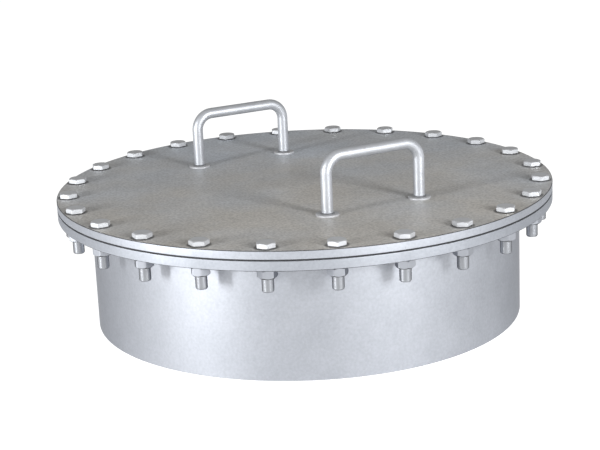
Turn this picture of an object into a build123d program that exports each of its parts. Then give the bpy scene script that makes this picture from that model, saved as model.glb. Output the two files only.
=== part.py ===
from build123d import *
import math
import os

# Bolted manway of a tank: a short neck with a welded flange, and a blind cover with two lifting
# handles, held down on a flat gasket by hex bolts and nuts.
# Millimetres. +Z is up and the neck's axis is Z. The origin is at the centre of the neck's lower end.
# The bars of both handles run along X. Front is -Y.

# --- Neck -------------------------------------------------------------------------------------
neck_dia = 625.0            # outside, as rolled
neck_wall = 6.0
neck_drop = 165.0           # from the flange's underside to the neck's lower end
neck_set_back = 5.0         # the neck's top edge lies this far below the flange's face
neck_end_break = 0.8        # broken edge at the lower end
flange_fit = 0.5            # radial room between the neck and the flange's bore
outer_weld_leg = 5.0        # fillet under the flange

# --- Flange, gasket and cover, from the bottom up ------------------------------------------------
flange_thick = 13.5
gasket_thick = 2.0
cover_thick = 11.5
bolt_room = 30.0            # from the neck's outside to the bolts' circle
rim_room = 17.5             # from the bolts' circle to the rim
rim_break = 0.7             # broken edges of the flange and the cover
gasket_inset = 1.5          # the gasket's edges lie this far inside the flange's
gasket_hole_play = 1.5      # radial room between a bolt and the gasket

# --- Bolts and nuts, M16 -------------------------------------------------------------------------
bolt_count = 24
bolt_dia = 16.0
bolt_hole_play = 1.0        # radial room between a bolt and the plates
bolt_tail = 18.5            # thread that shows below the nut
bolt_point = 1.4            # chamfer at the bolt's end
hex_flats = 24.0
head_height = 7.5
nut_height = 13.0
thread_play = 0.05          # radial running clearance between a bolt and its nut
nut_mouth = 1.0             # countersink at both ends of a nut's bore
hex_crown_share = 0.95      # diameter of the turned face on a hexagon, as a share of its flats
hex_crown_slope = 30.0      # degrees
# The spanner leaves each hexagon at its own turn, in degrees from the radius on which it stands:
# the start, plus the step times the square of its place on the circle.
head_turn_start = 12.0
head_turn_step = 44.0
nut_turn_start = 0.0
nut_turn_step = 17.0

# --- Handles -------------------------------------------------------------------------------------
handle_bar_dia = 16.0
handle_span = 148.0         # between the legs' axes
handle_height = 80.5        # from the cover to the bar's axis
handle_bend = 24.0          # radius of the bar's axis in a bend
handle_offset = 185.0       # from the neck's axis to the bar
handle_shift = 6.0          # from Y to each bar's middle: the front one to +X, the rear one to -X
foot_dia = 32.0
foot_thick = 2.2
foot_break = 0.6
foot_play = 0.1             # radial room between a leg and its foot plate
leg_weld_leg = 2.0          # bead between a leg and its foot plate

# --- Derived places ------------------------------------------------------------------------------
neck_radius = neck_dia / 2
bore_radius = neck_radius - neck_wall
flange_bore_radius = neck_radius + flange_fit
bolt_circle_radius = neck_radius + bolt_room
rim_radius = bolt_circle_radius + rim_room
bolt_radius = bolt_dia / 2

flange_bottom = neck_drop
flange_face = flange_bottom + flange_thick
cover_bottom = flange_face + gasket_thick
cover_face = cover_bottom + cover_thick
neck_top = flange_face - neck_set_back
nut_bottom = flange_bottom - nut_height
bolt_bottom = nut_bottom - bolt_tail

# The first bolt stands half a pitch from X, so that each handle lies midway between two bolts.
bolt_pitch = 360.0 / bolt_count


def turned(points):
    """A solid of revolution about Z, from the points (radius, height) of its half section."""
    outline = Polyline(*[(radius, 0, height) for radius, height in points], close=True)
    return revolve(make_face(outline), axis=Axis.Z)


def flat_ring(inner, outer, bottom, top, edge):
    """A flat ring, or a disc where inner is 0, with its outer edges broken."""
    return turned([
        (inner, bottom),
        (outer - edge, bottom),
        (outer, bottom + edge),
        (outer, top - edge),
        (outer - edge, top),
        (inner, top),
    ])


def on_bolt_circle(shape, turn_start=0.0, turn_step=0.0):
    """One copy of the shape for each bolt, on the bolts' circle and turned about its own axis."""
    copies = []
    for place in range(bolt_count):
        angle = bolt_pitch * (place + 0.5)
        turn = (turn_start + turn_step * place**2) % 360
        seat = Rot(0, 0, angle) * Pos(bolt_circle_radius, 0, 0) * Rot(0, 0, turn)
        copies.append(seat * shape)
    return copies


def drilled(plate, hole_radius, bottom, top):
    """The plate with a round hole for each bolt."""
    height = top - bottom
    drill = Pos(0, 0, bottom + height / 2) * Cylinder(hole_radius, height * 2)
    return plate - on_bolt_circle(drill)


def crowned_hexagon(height, crown_below):
    """A hexagon on Z = 0 with a corner at +X. Its top is turned, and so is its underside
    where crown_below is true."""
    corner = hex_flats / math.sqrt(3)
    crown = hex_flats / 2 * hex_crown_share
    reach = corner * 1.1
    fall = (reach - crown) * math.tan(math.radians(hex_crown_slope))
    lower = [(0, 0), (crown, 0), (reach, fall)] if crown_below else [(0, 0), (reach, 0)]
    envelope = turned(lower + [(reach, height - fall), (crown, height), (0, height)])
    prism = extrude(RegularPolygon(corner, 6), height)
    return prism & envelope


# --- Neck and flange -----------------------------------------------------------------------------
def make_neck_shell():
    return turned([
        (bore_radius + neck_end_break, 0),
        (neck_radius - neck_end_break, 0),
        (neck_radius, neck_end_break),
        (neck_radius, neck_top),
        (bore_radius, neck_top),
        (bore_radius, neck_end_break),
    ])


def make_flange_ring():
    ring = flat_ring(flange_bore_radius, rim_radius, flange_bottom, flange_face, rim_break)
    return drilled(ring, bolt_radius + bolt_hole_play, flange_bottom, flange_face)


def make_neck_outer_weld():
    """Fillet in the corner between the neck's outside and the flange's underside."""
    return turned([
        (neck_radius, flange_bottom - outer_weld_leg),
        (neck_radius + outer_weld_leg, flange_bottom),
        (neck_radius, flange_bottom),
    ])


def make_neck_inner_weld():
    """Seal weld that fills the set-back on top of the neck, flush with the bore and the face."""
    return turned([
        (bore_radius, neck_top),
        (flange_bore_radius, neck_top),
        (flange_bore_radius, flange_face),
    ])


def make_gasket():
    inner = flange_bore_radius + gasket_inset
    outer = rim_radius - gasket_inset
    ring = turned([
        (inner, flange_face),
        (outer, flange_face),
        (outer, cover_bottom),
        (inner, cover_bottom),
    ])
    return drilled(ring, bolt_radius + gasket_hole_play, flange_face, cover_bottom)


# --- Cover ---------------------------------------------------------------------------------------
def make_cover_plate():
    disc = flat_ring(0, rim_radius, cover_bottom, cover_face, rim_break)
    return drilled(disc, bolt_radius + bolt_hole_play, cover_bottom, cover_face)


def leg_x(side, way):
    """Where a leg's axis stands along X. way is -1 for the left leg, 1 for the right one."""
    return way * handle_span / 2 - side * handle_shift


def make_handle(side):
    """A round bar bent to a U, its legs standing on the cover. side is -1 in front, 1 at the rear."""
    left = leg_x(side, -1)
    right = leg_x(side, 1)
    y = side * handle_offset
    top = cover_face + handle_height
    path = FilletPolyline(
        (left, y, cover_face),
        (left, y, top),
        (right, y, top),
        (right, y, cover_face),
        radius=handle_bend,
    )
    section = Plane(origin=path @ 0, z_dir=path % 0) * Circle(handle_bar_dia / 2)
    return sweep(section, path=path)


def make_foot():
    """A round foot plate on the cover, bored for the handle's leg."""
    bore = handle_bar_dia / 2 + foot_play
    outer = foot_dia / 2
    top = cover_face + foot_thick
    return turned([
        (bore, cover_face),
        (outer, cover_face),
        (outer, top - foot_break),
        (outer - foot_break, top),
        (bore, top),
    ])


def make_leg_weld():
    """The bead that joins a leg to its foot plate."""
    leg = handle_bar_dia / 2
    bottom = cover_face + foot_thick
    return turned([
        (leg, bottom),
        (leg + leg_weld_leg, bottom),
        (leg, bottom + leg_weld_leg),
    ])


# --- Fasteners -----------------------------------------------------------------------------------
def make_bolt():
    """A hex bolt seen through the whole stack, its head on the cover."""
    head = Pos(0, 0, cover_face) * crowned_hexagon(head_height, crown_below=False)
    shank = turned([
        (0, bolt_bottom),
        (bolt_radius - bolt_point, bolt_bottom),
        (bolt_radius, bolt_bottom + bolt_point),
        (bolt_radius, cover_face),
        (0, cover_face),
    ])
    return head + shank


def make_nut():
    """A hex nut against the flange's underside, its bore clear of the bolt."""
    bore = bolt_radius + thread_play
    bored = turned([
        (0, 0),
        (bore + nut_mouth, 0),
        (bore, nut_mouth),
        (bore, nut_height - nut_mouth),
        (bore + nut_mouth, nut_height),
        (0, nut_height),
    ])
    return Pos(0, 0, nut_bottom) * (crowned_hexagon(nut_height, crown_below=True) - bored)


# --- Assembly ------------------------------------------------------------------------------------
parts = {
    "neck_shell": make_neck_shell(),
    "flange_ring": make_flange_ring(),
    "neck_outer_weld": make_neck_outer_weld(),
    "neck_inner_weld": make_neck_inner_weld(),
    "gasket": make_gasket(),
    "cover_plate": make_cover_plate(),
    "front_handle": make_handle(-1),
    "rear_handle": make_handle(1),
    "cover_bolts": Compound(on_bolt_circle(make_bolt(), head_turn_start, head_turn_step)),
    "cover_nuts": Compound(on_bolt_circle(make_nut(), nut_turn_start, nut_turn_step)),
}

for row, side in (("front", -1), ("rear", 1)):
    for end, way in (("left", -1), ("right", 1)):
        place = Pos(leg_x(side, way), side * handle_offset, 0)
        parts[f"{row}_{end}_foot"] = place * make_foot()
        parts[f"{row}_{end}_weld"] = place * make_leg_weld()

os.makedirs("parts", exist_ok=True)
for name, shape in parts.items():
    export_step(shape, f"parts/{name}.step")
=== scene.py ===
import math

import bmesh
import bpy
from mathutils import Matrix, Vector


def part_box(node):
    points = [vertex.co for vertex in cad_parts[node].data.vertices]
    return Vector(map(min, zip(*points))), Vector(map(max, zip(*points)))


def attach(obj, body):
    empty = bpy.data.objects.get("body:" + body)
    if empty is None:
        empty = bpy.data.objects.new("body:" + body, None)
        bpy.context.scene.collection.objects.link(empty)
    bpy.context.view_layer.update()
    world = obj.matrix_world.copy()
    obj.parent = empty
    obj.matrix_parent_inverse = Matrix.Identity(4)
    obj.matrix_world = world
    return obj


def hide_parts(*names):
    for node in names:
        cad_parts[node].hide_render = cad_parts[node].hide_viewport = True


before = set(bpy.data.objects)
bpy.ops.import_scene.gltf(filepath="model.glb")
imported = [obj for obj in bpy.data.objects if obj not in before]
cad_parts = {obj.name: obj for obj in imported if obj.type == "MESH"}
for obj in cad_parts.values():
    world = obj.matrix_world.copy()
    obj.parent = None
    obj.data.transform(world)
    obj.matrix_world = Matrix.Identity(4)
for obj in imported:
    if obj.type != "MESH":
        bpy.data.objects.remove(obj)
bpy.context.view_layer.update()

# Bolted tank manway: a short neck with a flange, a blind cover with two bar handles, 24 bolts and nuts.
# Lengths are in metres; MM turns a value in millimetres into metres.
MM = 0.001
FULL_TURN = 2 * math.pi
UP = Vector((0, 0, 1))

# --- Sizes shared by several pieces --------------------------------------------------------------
neck_low, neck_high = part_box("neck_shell")
flange_low, flange_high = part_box("flange_ring")
gasket_low, gasket_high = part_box("gasket")
cover_low, cover_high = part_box("cover_plate")

neck_radius = 312.5 * MM
neck_wall = 6.0 * MM
bore_radius = neck_radius - neck_wall
flange_bore_radius = neck_radius + 0.5 * MM
rim_radius = 360.0 * MM
rim_edge = 0.9 * MM
neck_end_break = 0.8 * MM
gasket_inset = 1.5 * MM

bolt_count = 24
bolt_pitch = FULL_TURN / bolt_count
bolt_circle_radius = 342.5 * MM
bolt_hole_radius = 9.0 * MM
gasket_hole_radius = 9.5 * MM
bolt_radius = 8.0 * MM
bolt_end = 133.5 * MM       # height of the bolts' lower ends
bolt_point = 1.4 * MM       # chamfer at a bolt's end
thread_length = 38.0 * MM
thread_pitch = 2.0 * MM
thread_depth = 0.12 * MM

# The crowns and the washer face are turned, and their radii are shares of the hexagon's half width.
hex_flats = 24.0 * MM
hex_half_width = hex_flats / 2
hex_corner_round = 0.25 * MM
head_height = 7.5 * MM
head_crown_radius = hex_half_width * 0.95
head_crown_slope = math.radians(30)
head_dish_share = 0.8
head_dish_depth = 0.12 * MM
washer_face_height = 1.2 * MM
washer_face_radius = hex_half_width * 0.97
nut_height = 13.0 * MM
nut_crown_radius = hex_half_width * 0.88
nut_crown_slope = math.radians(38)
nut_bore_radius = bolt_radius + 0.05 * MM
nut_mouth = 1.0 * MM
nut_groove_depth = 0.7 * MM
# The spanner leaves each hexagon at its own turn from the radius on which it stands: the start,
# plus the step times the square of its place on the circle.
head_turn_start = math.radians(12)
head_turn_step = math.radians(44)
nut_turn_start = 0.0
nut_turn_step = math.radians(17)

handle_bar_radius = 8.0 * MM
handle_bend = 24.0 * MM     # radius of the bar's axis in a bend
handle_half_span = 74.0 * MM    # from a bar's middle to a leg's axis
handle_shift = 6.0 * MM     # from Y to a bar's middle: to +X in front, to -X at the rear
handle_offset = 185.0 * MM  # from the neck's axis to the bar
handle_height = 80.5 * MM   # from the cover to the bar's axis
foot_radius = 16.0 * MM
foot_edge = 0.6 * MM
foot_play = 0.1 * MM

# --- How finely round shapes are divided ---------------------------------------------------------
neck_steps = 288
arc_steps = 12              # along one sector of a drilled plate
hole_steps = 32
bar_steps = 40
bend_steps = 16
foot_steps = 64
ripple_steps = 4            # along one ripple of a weld
flat_steps = 8              # across one flat of a hexagon
thread_steps = 28           # in one turn of a thread
merge_distance = 0.002 * MM
slack = 0.05 * MM           # a vertex this near to a place counts as lying on it


# --- Mesh helpers --------------------------------------------------------------------------------
def only_verts(geom):
    """The vertices among what an operator gave back."""
    return [item for item in geom if isinstance(item, bmesh.types.BMVert)]


def only_edges(geom):
    """The edges among what an operator gave back."""
    return [item for item in geom if isinstance(item, bmesh.types.BMEdge)]


def lies_at(vert, radius, height):
    """True where the vertex lies at that distance from the Z axis and at that height."""
    return abs(vert.co.xy.length - radius) < slack and abs(vert.co.z - height) < slack


def merge_doubles(bm):
    bmesh.ops.remove_doubles(bm, verts=bm.verts[:], dist=merge_distance)


def merge_and_orient(bm):
    """Merges doubles, then points every face outwards."""
    merge_doubles(bm)
    bmesh.ops.recalc_face_normals(bm, faces=bm.faces[:])


def section(bm, points, closed=True):
    """The half section through (radius, height) points, as vertices and edges in the XZ plane."""
    verts = [bm.verts.new((radius, 0, height)) for radius, height in points]
    ends = verts[1:] + verts[:1] if closed else verts[1:]
    edges = [bm.edges.new(pair) for pair in zip(verts, ends)]
    return verts, edges


def round_section(bm, verts, radius):
    """Rounds the corners of a half section."""
    bmesh.ops.bevel(
        bm, geom=verts, affect="VERTICES", offset=radius, segments=3, profile=0.5, material=-1
    )


def spin_round(bm, steps):
    """Spins everything in the bmesh once round the Z axis."""
    geom = bm.verts[:] + bm.edges[:]
    bmesh.ops.spin(
        bm, geom=geom, cent=(0, 0, 0), axis=UP, angle=FULL_TURN, steps=steps, use_merge=True
    )
    merge_and_orient(bm)


def on_bolt_circle(bm, turn_start, turn_step):
    """Repeats what the bmesh holds at each bolt, each copy turned about its own axis."""
    pattern_verts = bm.verts[:]
    pattern = pattern_verts + bm.edges[:] + bm.faces[:]
    for place in range(bolt_count):
        turn = turn_start + turn_step * place**2
        seat = (
            Matrix.Rotation(bolt_pitch * (place + 0.5), 4, "Z")
            @ Matrix.Translation((bolt_circle_radius, 0, 0))
            @ Matrix.Rotation(turn, 4, "Z")
        )
        copied = bmesh.ops.duplicate(bm, geom=pattern)["geom"]
        bmesh.ops.transform(bm, matrix=seat, verts=only_verts(copied))
    bmesh.ops.delete(bm, geom=pattern_verts, context="VERTS")


def piece(name, bm, body, node, material, sharp=35.0, even_normals=False):
    """Makes the bmesh an object that stands for a CAD node and moves with its body. Edges of more
    than sharp degrees stay sharp. even_normals keeps the shading of large flat faces flat."""
    mesh = bpy.data.meshes.new(name)
    bm.to_mesh(mesh)
    bm.free()
    mesh.shade_smooth()
    mesh.set_sharp_from_angle(angle=math.radians(sharp))
    obj = bpy.data.objects.new(name, mesh)
    bpy.context.scene.collection.objects.link(obj)
    mesh.materials.append(material)
    if even_normals:
        modifier = obj.modifiers.new("even_normals", "WEIGHTED_NORMAL")
        modifier.keep_sharp = True
        modifier.weight = 100
    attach(obj, body)
    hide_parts(node)
    return obj


def finish_where(obj, material, chosen):
    """Gives the polygons for which chosen is true a finish of their own."""
    obj.data.materials.append(material)
    index = len(obj.data.materials) - 1
    for polygon in obj.data.polygons:
        if chosen(polygon):
            polygon.material_index = index


def facing(low, high):
    """A test for polygons whose normal's part along Z lies between low and high."""
    return lambda polygon: low < polygon.normal.z < high


# --- Materials -----------------------------------------------------------------------------------
noise_low = 0.3             # nearly all of a noise texture lies between these two
noise_high = 0.7
# Painted reflection on the cover: a colour cast along the view, warm on the near side and cool on the
# far side.
reflection_heading = math.radians(61)     # from +X, the way the cover's colour cast changes
reflection_start = -0.1
patch_scale = 7.0           # large soft patches that break up the cast
patch_swing = 0.35
fleck_scale = 280.0
scuff_scale = 190.0
scuff_from = 0.62           # scuffs fade in over this range of their noise
scuff_full = 0.70
gloss_swing = 0.08
grain_scale = 900.0
grain_strength = 0.15
grain_height = 0.1 * MM

# Painted shade on the cover: a dark ring round each bolt's head, where the head's edge would shade the
# plate.
painted_shade_radius = 13.6 * MM    # the middle of the ring round each bolt
painted_shade_half_width = 1.2 * MM  # from there to where the grime begins to fade
painted_shade_reach = 3.8 * MM      # from there to clean steel
painted_shade_tone = 0.35


def node_material(name):
    """A new material: its node tree, its shader and its Object coordinates."""
    material = bpy.data.materials.new(name)
    material.use_nodes = True
    tree = material.node_tree
    shader = tree.nodes["Principled BSDF"]
    coordinates = tree.nodes.new("ShaderNodeTexCoord")
    return material, tree, shader, coordinates.outputs["Object"]


def noise(tree, place, scale, detail, roughness=0.55):
    """Noise on the given coordinates."""
    texture = tree.nodes.new("ShaderNodeTexNoise")
    texture.inputs["Scale"].default_value = scale
    texture.inputs["Detail"].default_value = detail
    texture.inputs["Roughness"].default_value = roughness
    tree.links.new(place, texture.inputs["Vector"])
    return texture.outputs["Fac"]


def ranged(tree, value, low, high, out_low, out_high):
    """The value mapped from low..high to out_low..out_high, held within it."""
    node = tree.nodes.new("ShaderNodeMapRange")
    node.inputs["From Min"].default_value = low
    node.inputs["From Max"].default_value = high
    node.inputs["To Min"].default_value = out_low
    node.inputs["To Max"].default_value = out_high
    tree.links.new(value, node.inputs["Value"])
    return node.outputs["Result"]


def tinted(tree, factor, first, second):
    """A colour that runs from the first to the second with the factor."""
    node = tree.nodes.new("ShaderNodeMix")
    node.data_type = "RGBA"
    node.inputs["A"].default_value = (*first, 1)
    node.inputs["B"].default_value = (*second, 1)
    tree.links.new(factor, node.inputs["Factor"])
    return node.outputs["Result"]


def maths(tree, operation, *values):
    """A sum worked out on sockets and plain numbers."""
    node = tree.nodes.new("ShaderNodeMath")
    node.operation = operation
    for socket, value in zip(node.inputs, values):
        if isinstance(value, bpy.types.NodeSocket):
            tree.links.new(value, socket)
        else:
            socket.default_value = value
    return node.outputs["Value"]


def distance_from(tree, across, along):
    """The length of a line from its two parts at right angles."""
    along_squared = maths(tree, "MULTIPLY", along, along)
    return maths(tree, "SQRT", maths(tree, "MULTIPLY_ADD", across, across, along_squared))


def product(tree, first, second):
    """Two colours, or a colour and a factor, multiplied channel by channel."""
    node = tree.nodes.new("ShaderNodeVectorMath")
    node.operation = "MULTIPLY"
    tree.links.new(first, node.inputs[0])
    tree.links.new(second, node.inputs[1])
    return node.outputs["Vector"]


def reflection_drift(tree, place, heading, reach):
    """Painted reflection: rises to 1 across the object along a heading in the XY plane, broken up by
    soft patches.
    """
    turned_place = tree.nodes.new("ShaderNodeMapping")
    turned_place.inputs["Rotation"].default_value = (0, 0, -heading)
    tree.links.new(place, turned_place.inputs["Vector"])
    split = tree.nodes.new("ShaderNodeSeparateXYZ")
    tree.links.new(turned_place.outputs["Vector"], split.inputs["Vector"])
    slope = ranged(tree, split.outputs["X"], -reach, reach, reflection_start, 1.0)
    cloud = noise(tree, place, patch_scale, detail=3.0)
    patches = ranged(tree, cloud, noise_low, noise_high, -patch_swing, patch_swing)
    return maths(tree, "ADD", slope, patches)


def painted_shade_round_heads(tree, place):
    """Painted shade: below 1 in a narrow ring round each bolt, where the head's edge would shade the
    plate.
    """
    split = tree.nodes.new("ShaderNodeSeparateXYZ")
    tree.links.new(place, split.inputs["Vector"])
    x = split.outputs["X"]
    y = split.outputs["Y"]
    turn = maths(tree, "DIVIDE", maths(tree, "ARCTAN2", y, x), bolt_pitch)
    off_bolt = maths(tree, "SUBTRACT", maths(tree, "FRACT", turn), 0.5)
    across = maths(tree, "MULTIPLY", off_bolt, bolt_pitch * bolt_circle_radius)
    along = maths(tree, "SUBTRACT", distance_from(tree, x, y), bolt_circle_radius)
    off_middle = maths(tree, "SUBTRACT", distance_from(tree, across, along), painted_shade_radius)
    off_ring = maths(tree, "ABSOLUTE", off_middle)
    return ranged(tree, off_ring, painted_shade_half_width, painted_shade_reach, painted_shade_tone, 1.0)


def steel(name, tone, roughness, metallic=1.0, edge_tone=1.0, mottle=0.06, mottle_scale=14.0,
          speckle=0.0, scuffs=0.0, reflection_tints=None, painted_shade=False):
    """Blasted or brushed stainless: slightly uneven tone and gloss, and a fine grain. mottle and
    speckle are the swing of its tone over large clouds and small flecks. edge_tone dims its
    reflections at a glancing angle. scuffs darkens small marks that handling left here and there.
    Its tints are a painted reflection: a colour cast from the first tint on the side towards the camera
    to the second on the far side. It can also carry painted shade, a dark ring round each bolt's head."""
    material, tree, shader, place = node_material(name)
    cloud = noise(tree, place, mottle_scale, detail=5.0)
    spread = ranged(tree, cloud, noise_low, noise_high, 0.0, 1.0)
    dark = [channel * (1 - mottle) for channel in tone]
    light = [channel * (1 + mottle) for channel in tone]
    colour = tinted(tree, spread, dark, light)
    if speckle:
        fleck = noise(tree, place, fleck_scale, detail=2.0)
        tone_of_fleck = ranged(tree, fleck, noise_low, noise_high, 1 - speckle, 1 + speckle)
        colour = product(tree, colour, tone_of_fleck)
    if scuffs:
        mark = noise(tree, place, scuff_scale, detail=4.0, roughness=0.7)
        colour = product(tree, colour, ranged(tree, mark, scuff_from, scuff_full, 1.0, 1 - scuffs))
    # Painted reflection: a colour cast across the object.
    if reflection_tints:
        cast = reflection_drift(tree, place, reflection_heading, rim_radius)
        colour = product(tree, colour, tinted(tree, cast, *reflection_tints))
    # Painted shade round the bolts' heads.
    if painted_shade:
        colour = product(tree, colour, painted_shade_round_heads(tree, place))
    tree.links.new(colour, shader.inputs["Base Color"])
    dull = roughness * (1 + gloss_swing)
    bright = roughness * (1 - gloss_swing)
    tree.links.new(ranged(tree, cloud, noise_low, noise_high, dull, bright), shader.inputs["Roughness"])
    shader.inputs["Metallic"].default_value = metallic
    shader.inputs["Specular Tint"].default_value = (edge_tone, edge_tone, edge_tone, 1)
    bump = tree.nodes.new("ShaderNodeBump")
    bump.inputs["Strength"].default_value = grain_strength
    bump.inputs["Distance"].default_value = grain_height
    tree.links.new(noise(tree, place, grain_scale, detail=2.0), bump.inputs["Height"])
    tree.links.new(bump.outputs["Normal"], shader.inputs["Normal"])
    return material


def rubber(name, tone):
    """Flat black sheet rubber with a faint chalky bloom."""
    material, tree, shader, place = node_material(name)
    bloom = ranged(tree, noise(tree, place, 40.0, detail=4.0), 0.35, 0.7, 0.0, 1.0)
    chalky = [channel * 1.5 for channel in tone]
    tree.links.new(tinted(tree, bloom, tone, chalky), shader.inputs["Base Color"])
    shader.inputs["Roughness"].default_value = 0.7
    return material


neck_steel = steel(
    "satin neck steel", (0.41, 0.425, 0.46), 0.47,
    edge_tone=0.4, mottle=0.05, mottle_scale=22.0, speckle=0.06, scuffs=0.05,
)
edge_steel = steel(
    "turned edge steel", (0.42, 0.437, 0.472), 0.58,
    edge_tone=0.5, speckle=0.05, scuffs=0.18,
)
flange_edge_steel = steel(
    "turned flange steel", (0.375, 0.391, 0.423), 0.60,
    edge_tone=0.5, speckle=0.05, scuffs=0.12,
)
# The cover's tints are a painted reflection, and it has painted shade in a ring round each bolt's head.
cover_steel = steel(
    "blasted cover steel", (0.55, 0.55, 0.55), 0.50,
    metallic=0.25, mottle=0.09, mottle_scale=9.0, speckle=0.2,
    reflection_tints=((1.04, 1.0, 0.94), (0.99, 1.05, 1.14)), painted_shade=True,
)
bar_steel = steel(
    "bright bar steel", (0.54, 0.555, 0.585), 0.46,
    metallic=0.6, edge_tone=0.6, mottle=0.07, mottle_scale=70.0,
)
foot_steel = steel("foot steel", (0.52, 0.525, 0.54), 0.5, metallic=0.3, mottle=0.05)
weld_steel = steel("weld metal", (0.46, 0.47, 0.50), 0.42, mottle=0.10, mottle_scale=60.0)
fastener_steel = steel(
    "fastener steel", (0.61, 0.62, 0.64), 0.56,
    metallic=0.5, mottle=0.05, mottle_scale=30.0,
)
nut_steel = steel(
    "nut steel", (0.38, 0.395, 0.43), 0.34,
    edge_tone=0.4, mottle=0.05, mottle_scale=30.0,
)
# Near-black painted shade, laid on faces that lie in shade: the flange's lower rounding, the cover's
# top rounding, the bolts' washer faces and the nuts' lower crowns.
painted_shade_steel = steel("painted shade steel", (0.07, 0.07, 0.075), 0.6, metallic=0.3, mottle=0.1)
# Painted shade: the thread's darker tone stands in for the shade caught between its turns.
thread_shade_steel = steel(
    "rolled thread steel with painted shade", (0.32, 0.33, 0.35), 0.38,
    edge_tone=0.0, mottle=0.05, mottle_scale=30.0,
)
gasket_rubber = rubber("gasket rubber", (0.018, 0.018, 0.02))


# --- Neck and flange -----------------------------------------------------------------------------
def drilled_plate(inner, outer, bottom, top, hole_radius):
    """A flat ring with a hole at each bolt. One sector is filled between its arcs and its hole,
    repeated round the axis and given its thickness."""
    bm = bmesh.new()
    half = bolt_pitch / 2
    first = Matrix.Rotation(-half, 3, "Z")
    arcs = []
    for radius in (inner, outer):
        start = bm.verts.new(first @ Vector((radius, 0, 0)))
        spun = bmesh.ops.spin(
            bm, geom=[start], cent=(0, 0, 0), axis=UP, angle=2 * half, steps=arc_steps
        )
        end = only_verts(spun["geom_last"])[0]
        arcs.append((start, end))
    (inner_start, inner_end), (outer_start, outer_end) = arcs
    bm.edges.new((inner_start, outer_start))
    bm.edges.new((inner_end, outer_end))
    bmesh.ops.create_circle(
        bm, segments=hole_steps, radius=hole_radius,
        matrix=Matrix.Translation((bolt_circle_radius, 0, 0)),
    )
    bmesh.ops.triangle_fill(bm, use_beauty=True, use_dissolve=False, edges=bm.edges[:])
    everything = bm.verts[:] + bm.edges[:] + bm.faces[:]
    bmesh.ops.rotate(bm, verts=bm.verts[:], cent=(0, 0, 0), matrix=Matrix.Rotation(half, 3, "Z"))
    bmesh.ops.spin(
        bm, geom=everything, cent=(0, 0, 0), axis=UP, angle=FULL_TURN - 2 * half,
        steps=bolt_count - 1, use_duplicate=True,
    )
    merge_doubles(bm)
    bmesh.ops.translate(bm, verts=bm.verts[:], vec=UP * bottom)
    raised = bmesh.ops.extrude_face_region(bm, geom=bm.faces[:])["geom"]
    bmesh.ops.translate(bm, verts=only_verts(raised), vec=UP * (top - bottom))
    merge_and_orient(bm)
    return bm


def fill_centre(bm, radius, height):
    """Closes the round opening of that radius at that height."""
    rim = [edge for edge in bm.edges if all(lies_at(vert, radius, height) for vert in edge.verts)]
    bmesh.ops.edgeloop_fill(bm, edges=rim)


def break_edges(bm):
    """Rounds each edge of a plate, where two faces meet at 60 degrees or more."""
    sharp = [
        edge for edge in bm.edges
        if len(edge.link_faces) == 2 and edge.calc_face_angle() > math.radians(60)
    ]
    bmesh.ops.bevel(
        bm, geom=sharp, affect="EDGES", offset=rim_edge, segments=2, profile=0.5, material=-1
    )


def make_neck_shell():
    bm = bmesh.new()
    verts, _ = section(bm, [
        (bore_radius, neck_low.z),
        (neck_radius, neck_low.z),
        (neck_radius, neck_high.z),
        (bore_radius, neck_high.z),
    ])
    round_section(bm, verts[:2], neck_end_break)
    spin_round(bm, neck_steps)
    return bm


def make_flange_ring():
    bm = drilled_plate(
        flange_bore_radius, rim_radius, flange_low.z, flange_high.z, bolt_hole_radius
    )
    break_edges(bm)
    return bm


def make_gasket():
    return drilled_plate(
        flange_bore_radius + gasket_inset, rim_radius - gasket_inset,
        gasket_low.z, gasket_high.z, gasket_hole_radius,
    )


def make_cover_plate():
    """The plate is made as a ring, and then the ring's inner wall gives way to two flat middles."""
    middle = 300.0 * MM
    bm = drilled_plate(middle, rim_radius, cover_low.z, cover_high.z, bolt_hole_radius)
    wall = [
        face for face in bm.faces
        if abs(face.normal.z) < 0.5 and face.calc_center_median().xy.length < middle
    ]
    bmesh.ops.delete(bm, geom=wall, context="FACES")
    fill_centre(bm, middle, cover_low.z)
    fill_centre(bm, middle, cover_high.z)
    bmesh.ops.recalc_face_normals(bm, faces=bm.faces[:])
    break_edges(bm)
    return bm


def rippled_bead(points, moved, ripple_pitch, ripple_height):
    """A weld bead: a closed half section spun round the axis. The points whose places are in moved
    sink towards the axis by up to ripple_height over each ripple of the weld pool."""
    bm = bmesh.new()
    section(bm, points)
    surface = [points[index] for index in moved]
    ripples = round(FULL_TURN * surface[0][0] / ripple_pitch)
    spin_round(bm, ripples * ripple_steps)
    for vert in bm.verts:
        if any(lies_at(vert, radius, height) for radius, height in surface):
            reach = vert.co.xy.length
            angle = math.atan2(vert.co.y, vert.co.x)
            phase = (angle / FULL_TURN * ripples) % 1.0
            sink = ripple_height * phase**2
            vert.co.xy *= (reach - sink) / reach
    return bm


def make_neck_outer_weld():
    """The fillet in the corner between the neck's outside and the flange's underside."""
    leg = 5.0 * MM
    corner = flange_low.z
    return rippled_bead(
        [
            (neck_radius, corner - leg),
            (neck_radius + leg * 0.30, corner - leg * 0.78),
            (neck_radius + leg * 0.56, corner - leg * 0.50),
            (neck_radius + leg * 0.80, corner - leg * 0.26),
            (neck_radius + leg, corner),
            (neck_radius, corner),
        ],
        moved=[1, 2, 3], ripple_pitch=3.2 * MM, ripple_height=0.5 * MM,
    )


def make_neck_inner_weld():
    """The seal weld on top of the neck, inside the flange's bore."""
    return rippled_bead(
        [
            (bore_radius, neck_high.z),
            (flange_bore_radius, neck_high.z),
            (flange_bore_radius, flange_high.z),
            (bore_radius + 4.4 * MM, flange_high.z - 0.5 * MM),
            (bore_radius + 2.4 * MM, flange_high.z - 2.0 * MM),
        ],
        moved=[3, 4], ripple_pitch=3.2 * MM, ripple_height=0.4 * MM,
    )


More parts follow.
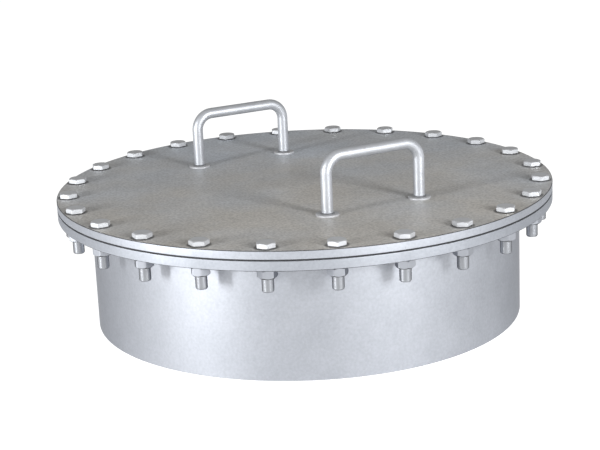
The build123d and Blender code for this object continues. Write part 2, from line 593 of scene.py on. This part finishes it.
# --- Handles -------------------------------------------------------------------------------------
def make_handle(side):
    """A round bar bent to a U: a circle extruded up a leg, spun through a bend, and so on."""
    bm = bmesh.new()
    top = cover_high.z + handle_height
    y = side * handle_offset
    middle = -side * handle_shift
    run = handle_half_span - handle_bend
    foot = Matrix.Translation((middle - handle_half_span, y, cover_high.z))
    bmesh.ops.create_circle(
        bm, segments=bar_steps, radius=handle_bar_radius, matrix=foot, cap_ends=True
    )
    ring = bm.edges[:]

    def extrude(edges, vector):
        made = bmesh.ops.extrude_edge_only(bm, edges=edges)["geom"]
        bmesh.ops.translate(bm, verts=only_verts(made), vec=vector)
        return only_edges(made)

    def bend(edges, centre_x):
        verts = list({vert for edge in edges for vert in edge.verts})
        spun = bmesh.ops.spin(
            bm, geom=verts + edges, cent=(centre_x, y, top - handle_bend), axis=(0, 1, 0),
            angle=FULL_TURN / 4, steps=bend_steps,
        )
        return only_edges(spun["geom_last"])

    edges = extrude(ring, UP * (handle_height - handle_bend))
    edges = bend(edges, middle - run)
    edges = extrude(edges, Vector((2 * run, 0, 0)))
    edges = bend(edges, middle + run)
    edges = extrude(edges, UP * (handle_bend - handle_height))
    bmesh.ops.edgeloop_fill(bm, edges=edges)
    merge_and_orient(bm)
    return bm


def make_foot(node):
    """A round foot plate with a rounded upper edge, bored for the leg."""
    low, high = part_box(node)
    centre = (low + high) / 2
    bore = handle_bar_radius + foot_play
    bm = bmesh.new()
    verts, _ = section(bm, [
        (bore, low.z),
        (foot_radius, low.z),
        (foot_radius, high.z),
        (bore, high.z),
    ])
    round_section(bm, [verts[2]], foot_edge)
    spin_round(bm, foot_steps)
    bmesh.ops.translate(bm, verts=bm.verts[:], vec=(centre.x, centre.y, 0))
    return bm


def make_leg_weld(node):
    """The bead between a leg and its foot plate, with a ripple for each dab of the filler."""
    low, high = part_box(node)
    centre = (low + high) / 2
    leg = high.z - low.z
    bar = handle_bar_radius
    inside = bar - 0.3 * MM
    bm = rippled_bead(
        [
            (inside, low.z),
            (bar + leg, low.z),
            (bar + leg * 0.74, low.z + leg * 0.42),
            (bar + leg * 0.42, low.z + leg * 0.74),
            (inside, high.z),
        ],
        moved=[2, 3], ripple_pitch=2.2 * MM, ripple_height=0.35 * MM,
    )
    bmesh.ops.translate(bm, verts=bm.verts[:], vec=(centre.x, centre.y, 0))
    return bm


# --- Fasteners -----------------------------------------------------------------------------------
def hexagon_reach(angle):
    """Distance from a hexagon's axis to its outside at an angle from its corner."""
    sixth = FULL_TURN / 6
    off_flat = (angle % sixth) - sixth / 2
    corner = hex_flats / math.sqrt(3) - hex_corner_round
    return min(hex_half_width / math.cos(off_flat), corner)


def hexagon_wall(bm, bottom, top, crown_radius, slope, crown_bottom, crown_top):
    """Gives an empty bmesh the six flats of a hexagon between two heights. Each crowned end is cut
    back to a turned cone of that radius and slope. Returns the edges of the two ends."""
    circle = bmesh.ops.create_circle(bm, segments=6 * flat_steps, radius=1.0)["verts"]
    lower = bm.edges[:]
    made = bmesh.ops.extrude_edge_only(bm, edges=lower)["geom"]
    ends = ((circle, bottom, 1, crown_bottom), (only_verts(made), top, -1, crown_top))
    for verts, height, inward, crowned in ends:
        for vert in verts:
            reach = hexagon_reach(math.atan2(vert.co.y, vert.co.x))
            fall = max(reach - crown_radius, 0) * math.tan(slope) if crowned else 0
            vert.co.xy *= reach
            vert.co.z = height + inward * fall
    return lower, only_edges(made)


def close_in(bm, edges, rings):
    """Carries a hexagon's end inwards through (radius, height) rings, and returns the last edges."""
    for radius, height in rings:
        made = bmesh.ops.extrude_edge_only(bm, edges=edges)["geom"]
        edges = only_edges(made)
        for vert in only_verts(made):
            vert.co.xy = vert.co.xy.normalized() * radius
            vert.co.z = height
    return edges


def add_thread(bm, low, high, crest, root):
    """A helical ridge between two heights: one tooth's outline, spun and raised turn after turn."""
    turns = math.floor((high - low) / thread_pitch) - 1
    tooth = [(root, 0.0), (crest, 0.38), (crest, 0.62), (root, 1.0)]
    points = [(radius, low + share * thread_pitch) for radius, share in tooth]
    verts, edges = section(bm, points, closed=False)
    bmesh.ops.spin(
        bm, geom=verts + edges, cent=(0, 0, 0), axis=UP, angle=FULL_TURN * turns,
        steps=thread_steps * turns, dvec=UP * (thread_pitch / thread_steps),
    )


def make_bolt():
    """A hex bolt: crowned head with a washer face, plain shank, and a thread with a chamfered end."""
    face = cover_high.z
    top = face + head_height
    seat = face + washer_face_height
    thread_top = bolt_end + thread_length
    root = bolt_radius - thread_depth
    root_point = 0.9 * MM
    run_out = 1.0 * MM
    bm = bmesh.new()
    lower, upper = hexagon_wall(
        bm, seat, top, head_crown_radius, head_crown_slope, crown_bottom=False, crown_top=True
    )
    last = close_in(bm, upper, [
        (head_crown_radius, top),
        (head_crown_radius * head_dish_share, top - head_dish_depth),
    ])
    bmesh.ops.edgeloop_fill(bm, edges=last)
    last = close_in(bm, lower, [
        (washer_face_radius, seat),
        (washer_face_radius, face),
        (bolt_radius, face),
        (bolt_radius, thread_top),
        (root, thread_top - run_out),
        (root, bolt_end + root_point),
        (root - root_point, bolt_end),
    ])
    bmesh.ops.edgeloop_fill(bm, edges=last)
    merge_and_orient(bm)
    add_thread(bm, bolt_end + 0.3 * MM, thread_top - 0.4 * MM, bolt_radius, root - 0.05 * MM)
    # The end is held within a cone that widens from the tip at 45 degrees.
    for vert in bm.verts:
        limit = bolt_radius - bolt_point + max(vert.co.z - bolt_end, 0)
        if vert.co.z < face and vert.co.xy.length > limit:
            vert.co.xy *= limit / vert.co.xy.length
    merge_and_orient(bm)
    return bm


def make_nut():
    """A hex nut, crowned at both ends, with a countersunk bore and its thread's grooves."""
    top = flange_low.z
    bottom = top - nut_height
    threaded = nut_height - 2 * nut_mouth
    groove_count = round(threaded / thread_pitch)
    groove_pitch = threaded / groove_count
    bm = bmesh.new()
    lower, upper = hexagon_wall(
        bm, bottom, top, nut_crown_radius, nut_crown_slope, crown_bottom=True, crown_top=True
    )
    rings = [
        (nut_crown_radius, bottom),
        (nut_bore_radius + nut_mouth, bottom),
        (nut_bore_radius, bottom + nut_mouth),
    ]
    for groove in range(groove_count):
        base = bottom + nut_mouth + groove * groove_pitch
        rings.append((nut_bore_radius + nut_groove_depth, base + groove_pitch * 0.5))
        rings.append((nut_bore_radius, base + groove_pitch))
    close_in(bm, lower, rings)
    close_in(bm, upper, [
        (nut_crown_radius, top),
        (nut_bore_radius + nut_mouth, top),
        (nut_bore_radius, top - nut_mouth),
    ])
    merge_and_orient(bm)
    return bm


# --- Assembly ------------------------------------------------------------------------------------
# A polygon's kind shows in its normal's part along Z. Walls stay within wall_normal of 0, flat faces
# lie beyond flat_normal, and roundings lie between the two. A nut's crowns lie beyond crown_normal.
wall_normal = 0.3
crown_normal = 0.5
flat_normal = 0.95
bead_sharp = 60

piece(
    "neck", make_neck_shell(), "neck", "neck_shell", neck_steel,
    even_normals=True,
)
flange = piece(
    "flange", make_flange_ring(), "neck", "flange_ring", neck_steel,
    even_normals=True,
)
finish_where(flange, flange_edge_steel, facing(-wall_normal, flat_normal))
# Painted shade along the flange's lower rounding.
finish_where(flange, painted_shade_steel, facing(-flat_normal, -wall_normal))
piece(
    "outer_bead", make_neck_outer_weld(), "neck", "neck_outer_weld", weld_steel,
    sharp=bead_sharp,
)
piece(
    "inner_bead", make_neck_inner_weld(), "neck", "neck_inner_weld", weld_steel,
    sharp=bead_sharp,
)
piece("flat_gasket", make_gasket(), "neck", "gasket", gasket_rubber)
cover = piece(
    "cover", make_cover_plate(), "cover", "cover_plate", cover_steel,
    even_normals=True,
)
finish_where(cover, edge_steel, facing(-flat_normal, wall_normal))
# Painted shade along the cover's top rounding.
finish_where(cover, painted_shade_steel, facing(wall_normal, flat_normal))
for row, side in (("front", -1), ("rear", 1)):
    handle = f"{row}_handle"
    piece(f"{row}_bar", make_handle(side), "cover", handle, bar_steel)
    for end in ("left", "right"):
        foot = f"{row}_{end}_foot"
        bead = f"{row}_{end}_weld"
        piece(
            f"{foot}_plate", make_foot(foot), "cover", foot, foot_steel,
            even_normals=True,
        )
        piece(
            f"{bead}_bead", make_leg_weld(bead), "cover", bead, weld_steel,
            sharp=bead_sharp,
        )

bolt_set = make_bolt()
on_bolt_circle(bolt_set, head_turn_start, head_turn_step)
bolts = piece("hex_bolts", bolt_set, "bolts", "cover_bolts", fastener_steel)
washer_top = cover_high.z + washer_face_height
# The bolts' ends below the cover take the thread's painted shade.
finish_where(bolts, thread_shade_steel, lambda polygon: polygon.center.z < cover_high.z)
# Painted shade at each bolt's washer face, under the head's edge.
finish_where(bolts, painted_shade_steel, lambda polygon: cover_high.z < polygon.center.z < washer_top)
nut_set = make_nut()
on_bolt_circle(nut_set, nut_turn_start, nut_turn_step)
nuts = piece("hex_nuts", nut_set, "nuts", "cover_nuts", nut_steel)
# Painted shade on each nut's lower crown.
finish_where(nuts, painted_shade_steel, facing(-flat_normal, -crown_normal))


# --- Floor, light and camera ---------------------------------------------------------------------
view_azimuth = math.radians(-118.875)   # from +X to the camera, which the lamps stand either side of


def visible_ray(tree):
    """1 for rays that see a surface directly, in a gloss or through glass, otherwise 0."""
    path = tree.nodes.new("ShaderNodeLightPath")
    total = path.outputs["Is Camera Ray"]
    for name in ("Is Glossy Ray", "Is Transmission Ray"):
        total = maths(tree, "MAXIMUM", total, path.outputs[name])
    return total


def make_floor():
    """A large plain floor that catches the shadows and looks white behind the object."""
    half_width = 14.0
    tone = 0.42
    whiteness = 0.92
    bm = bmesh.new()
    bmesh.ops.create_grid(bm, x_segments=1, y_segments=1, size=half_width)
    mesh = bpy.data.meshes.new("floor")
    bm.to_mesh(mesh)
    bm.free()
    floor = bpy.data.objects.new("floor", mesh)
    bpy.context.scene.collection.objects.link(floor)
    material = bpy.data.materials.new("white floor")
    material.use_nodes = True
    tree = material.node_tree
    tree.nodes.clear()
    output = tree.nodes.new("ShaderNodeOutputMaterial")
    diffuse = tree.nodes.new("ShaderNodeBsdfDiffuse")
    diffuse.inputs["Color"].default_value = (tone, tone, tone, 1)
    glow = tree.nodes.new("ShaderNodeEmission")
    tree.links.new(maths(tree, "MULTIPLY", visible_ray(tree), whiteness), glow.inputs["Strength"])
    both = tree.nodes.new("ShaderNodeAddShader")
    tree.links.new(diffuse.outputs["BSDF"], both.inputs[0])
    tree.links.new(glow.outputs["Emission"], both.inputs[1])
    tree.links.new(both.outputs["Shader"], output.inputs["Surface"])
    mesh.materials.append(material)


def make_world():
    """A plain studio: pale round the horizon, a dimmer ceiling above it."""
    horizon = (0.40, 0.41, 0.43)
    ceiling = (0.28, 0.275, 0.265)
    ceiling_height = 0.4
    world = bpy.data.worlds.new("studio")
    bpy.context.scene.world = world
    world.use_nodes = True
    tree = world.node_tree
    background = tree.nodes["Background"]
    direction = tree.nodes.new("ShaderNodeTexCoord")
    split = tree.nodes.new("ShaderNodeSeparateXYZ")
    tree.links.new(direction.outputs["Generated"], split.inputs["Vector"])
    height = ranged(tree, split.outputs["Z"], 0.0, ceiling_height, 0.0, 1.0)
    tone = tinted(tree, height, horizon, ceiling)
    tree.links.new(tone, background.inputs["Color"])
    background.inputs["Strength"].default_value = 1.0


def area_lamp(name, azimuth, elevation, distance, width, height, power):
    """A softbox that faces the object's middle."""
    target = Vector((0, 0, 0.15))
    direction = Vector((
        math.cos(elevation) * math.cos(azimuth),
        math.cos(elevation) * math.sin(azimuth),
        math.sin(elevation),
    ))
    light = bpy.data.lights.new(name, "AREA")
    light.shape = "RECTANGLE"
    light.size = width
    light.size_y = height
    light.energy = power
    light.color = (0.97, 0.985, 1.0)
    lamp = bpy.data.objects.new(name, light)
    lamp.location = target + direction * distance
    lamp.rotation_euler = (-direction).to_track_quat("-Z", "Y").to_euler()
    bpy.context.scene.collection.objects.link(lamp)


def make_camera():
    """The camera stands off the object at view_azimuth. Its yaw turns it off the Z axis, and its
    pitch is downwards."""
    distance = 2.26418
    height = 0.75156
    pitch = math.radians(15.4536)
    yaw = math.radians(-0.2201)
    roll = math.radians(-2.5240)
    camera_data = bpy.data.cameras.new("camera")
    camera_data.sensor_width = 36.0
    camera_data.lens = 95.394
    camera = bpy.data.objects.new("camera", camera_data)
    bpy.context.scene.collection.objects.link(camera)
    heading = view_azimuth + math.pi - yaw
    forward = Vector((
        math.cos(heading) * math.cos(pitch),
        math.sin(heading) * math.cos(pitch),
        -math.sin(pitch),
    ))
    right = forward.cross(UP).normalized()
    up = right.cross(forward)
    tilted_right = right * math.cos(roll) + up * math.sin(roll)
    tilted_up = up * math.cos(roll) - right * math.sin(roll)
    turn = Matrix((tilted_right, tilted_up, -forward)).transposed().to_4x4()
    spot = Vector((distance * math.cos(view_azimuth), distance * math.sin(view_azimuth), height))
    camera.matrix_world = Matrix.Translation(spot) @ turn
    bpy.context.scene.camera = camera


make_floor()
make_world()
area_lamp(
    "left strip", azimuth=view_azimuth - math.radians(52), elevation=math.radians(8),
    distance=2.4, width=0.20, height=0.8, power=50.0,
)
area_lamp(
    "right softbox", azimuth=view_azimuth + math.radians(40), elevation=math.radians(15),
    distance=2.6, width=0.6, height=0.9, power=58.0,
)
make_camera()
bpy.context.scene.view_settings.view_transform = "Standard"
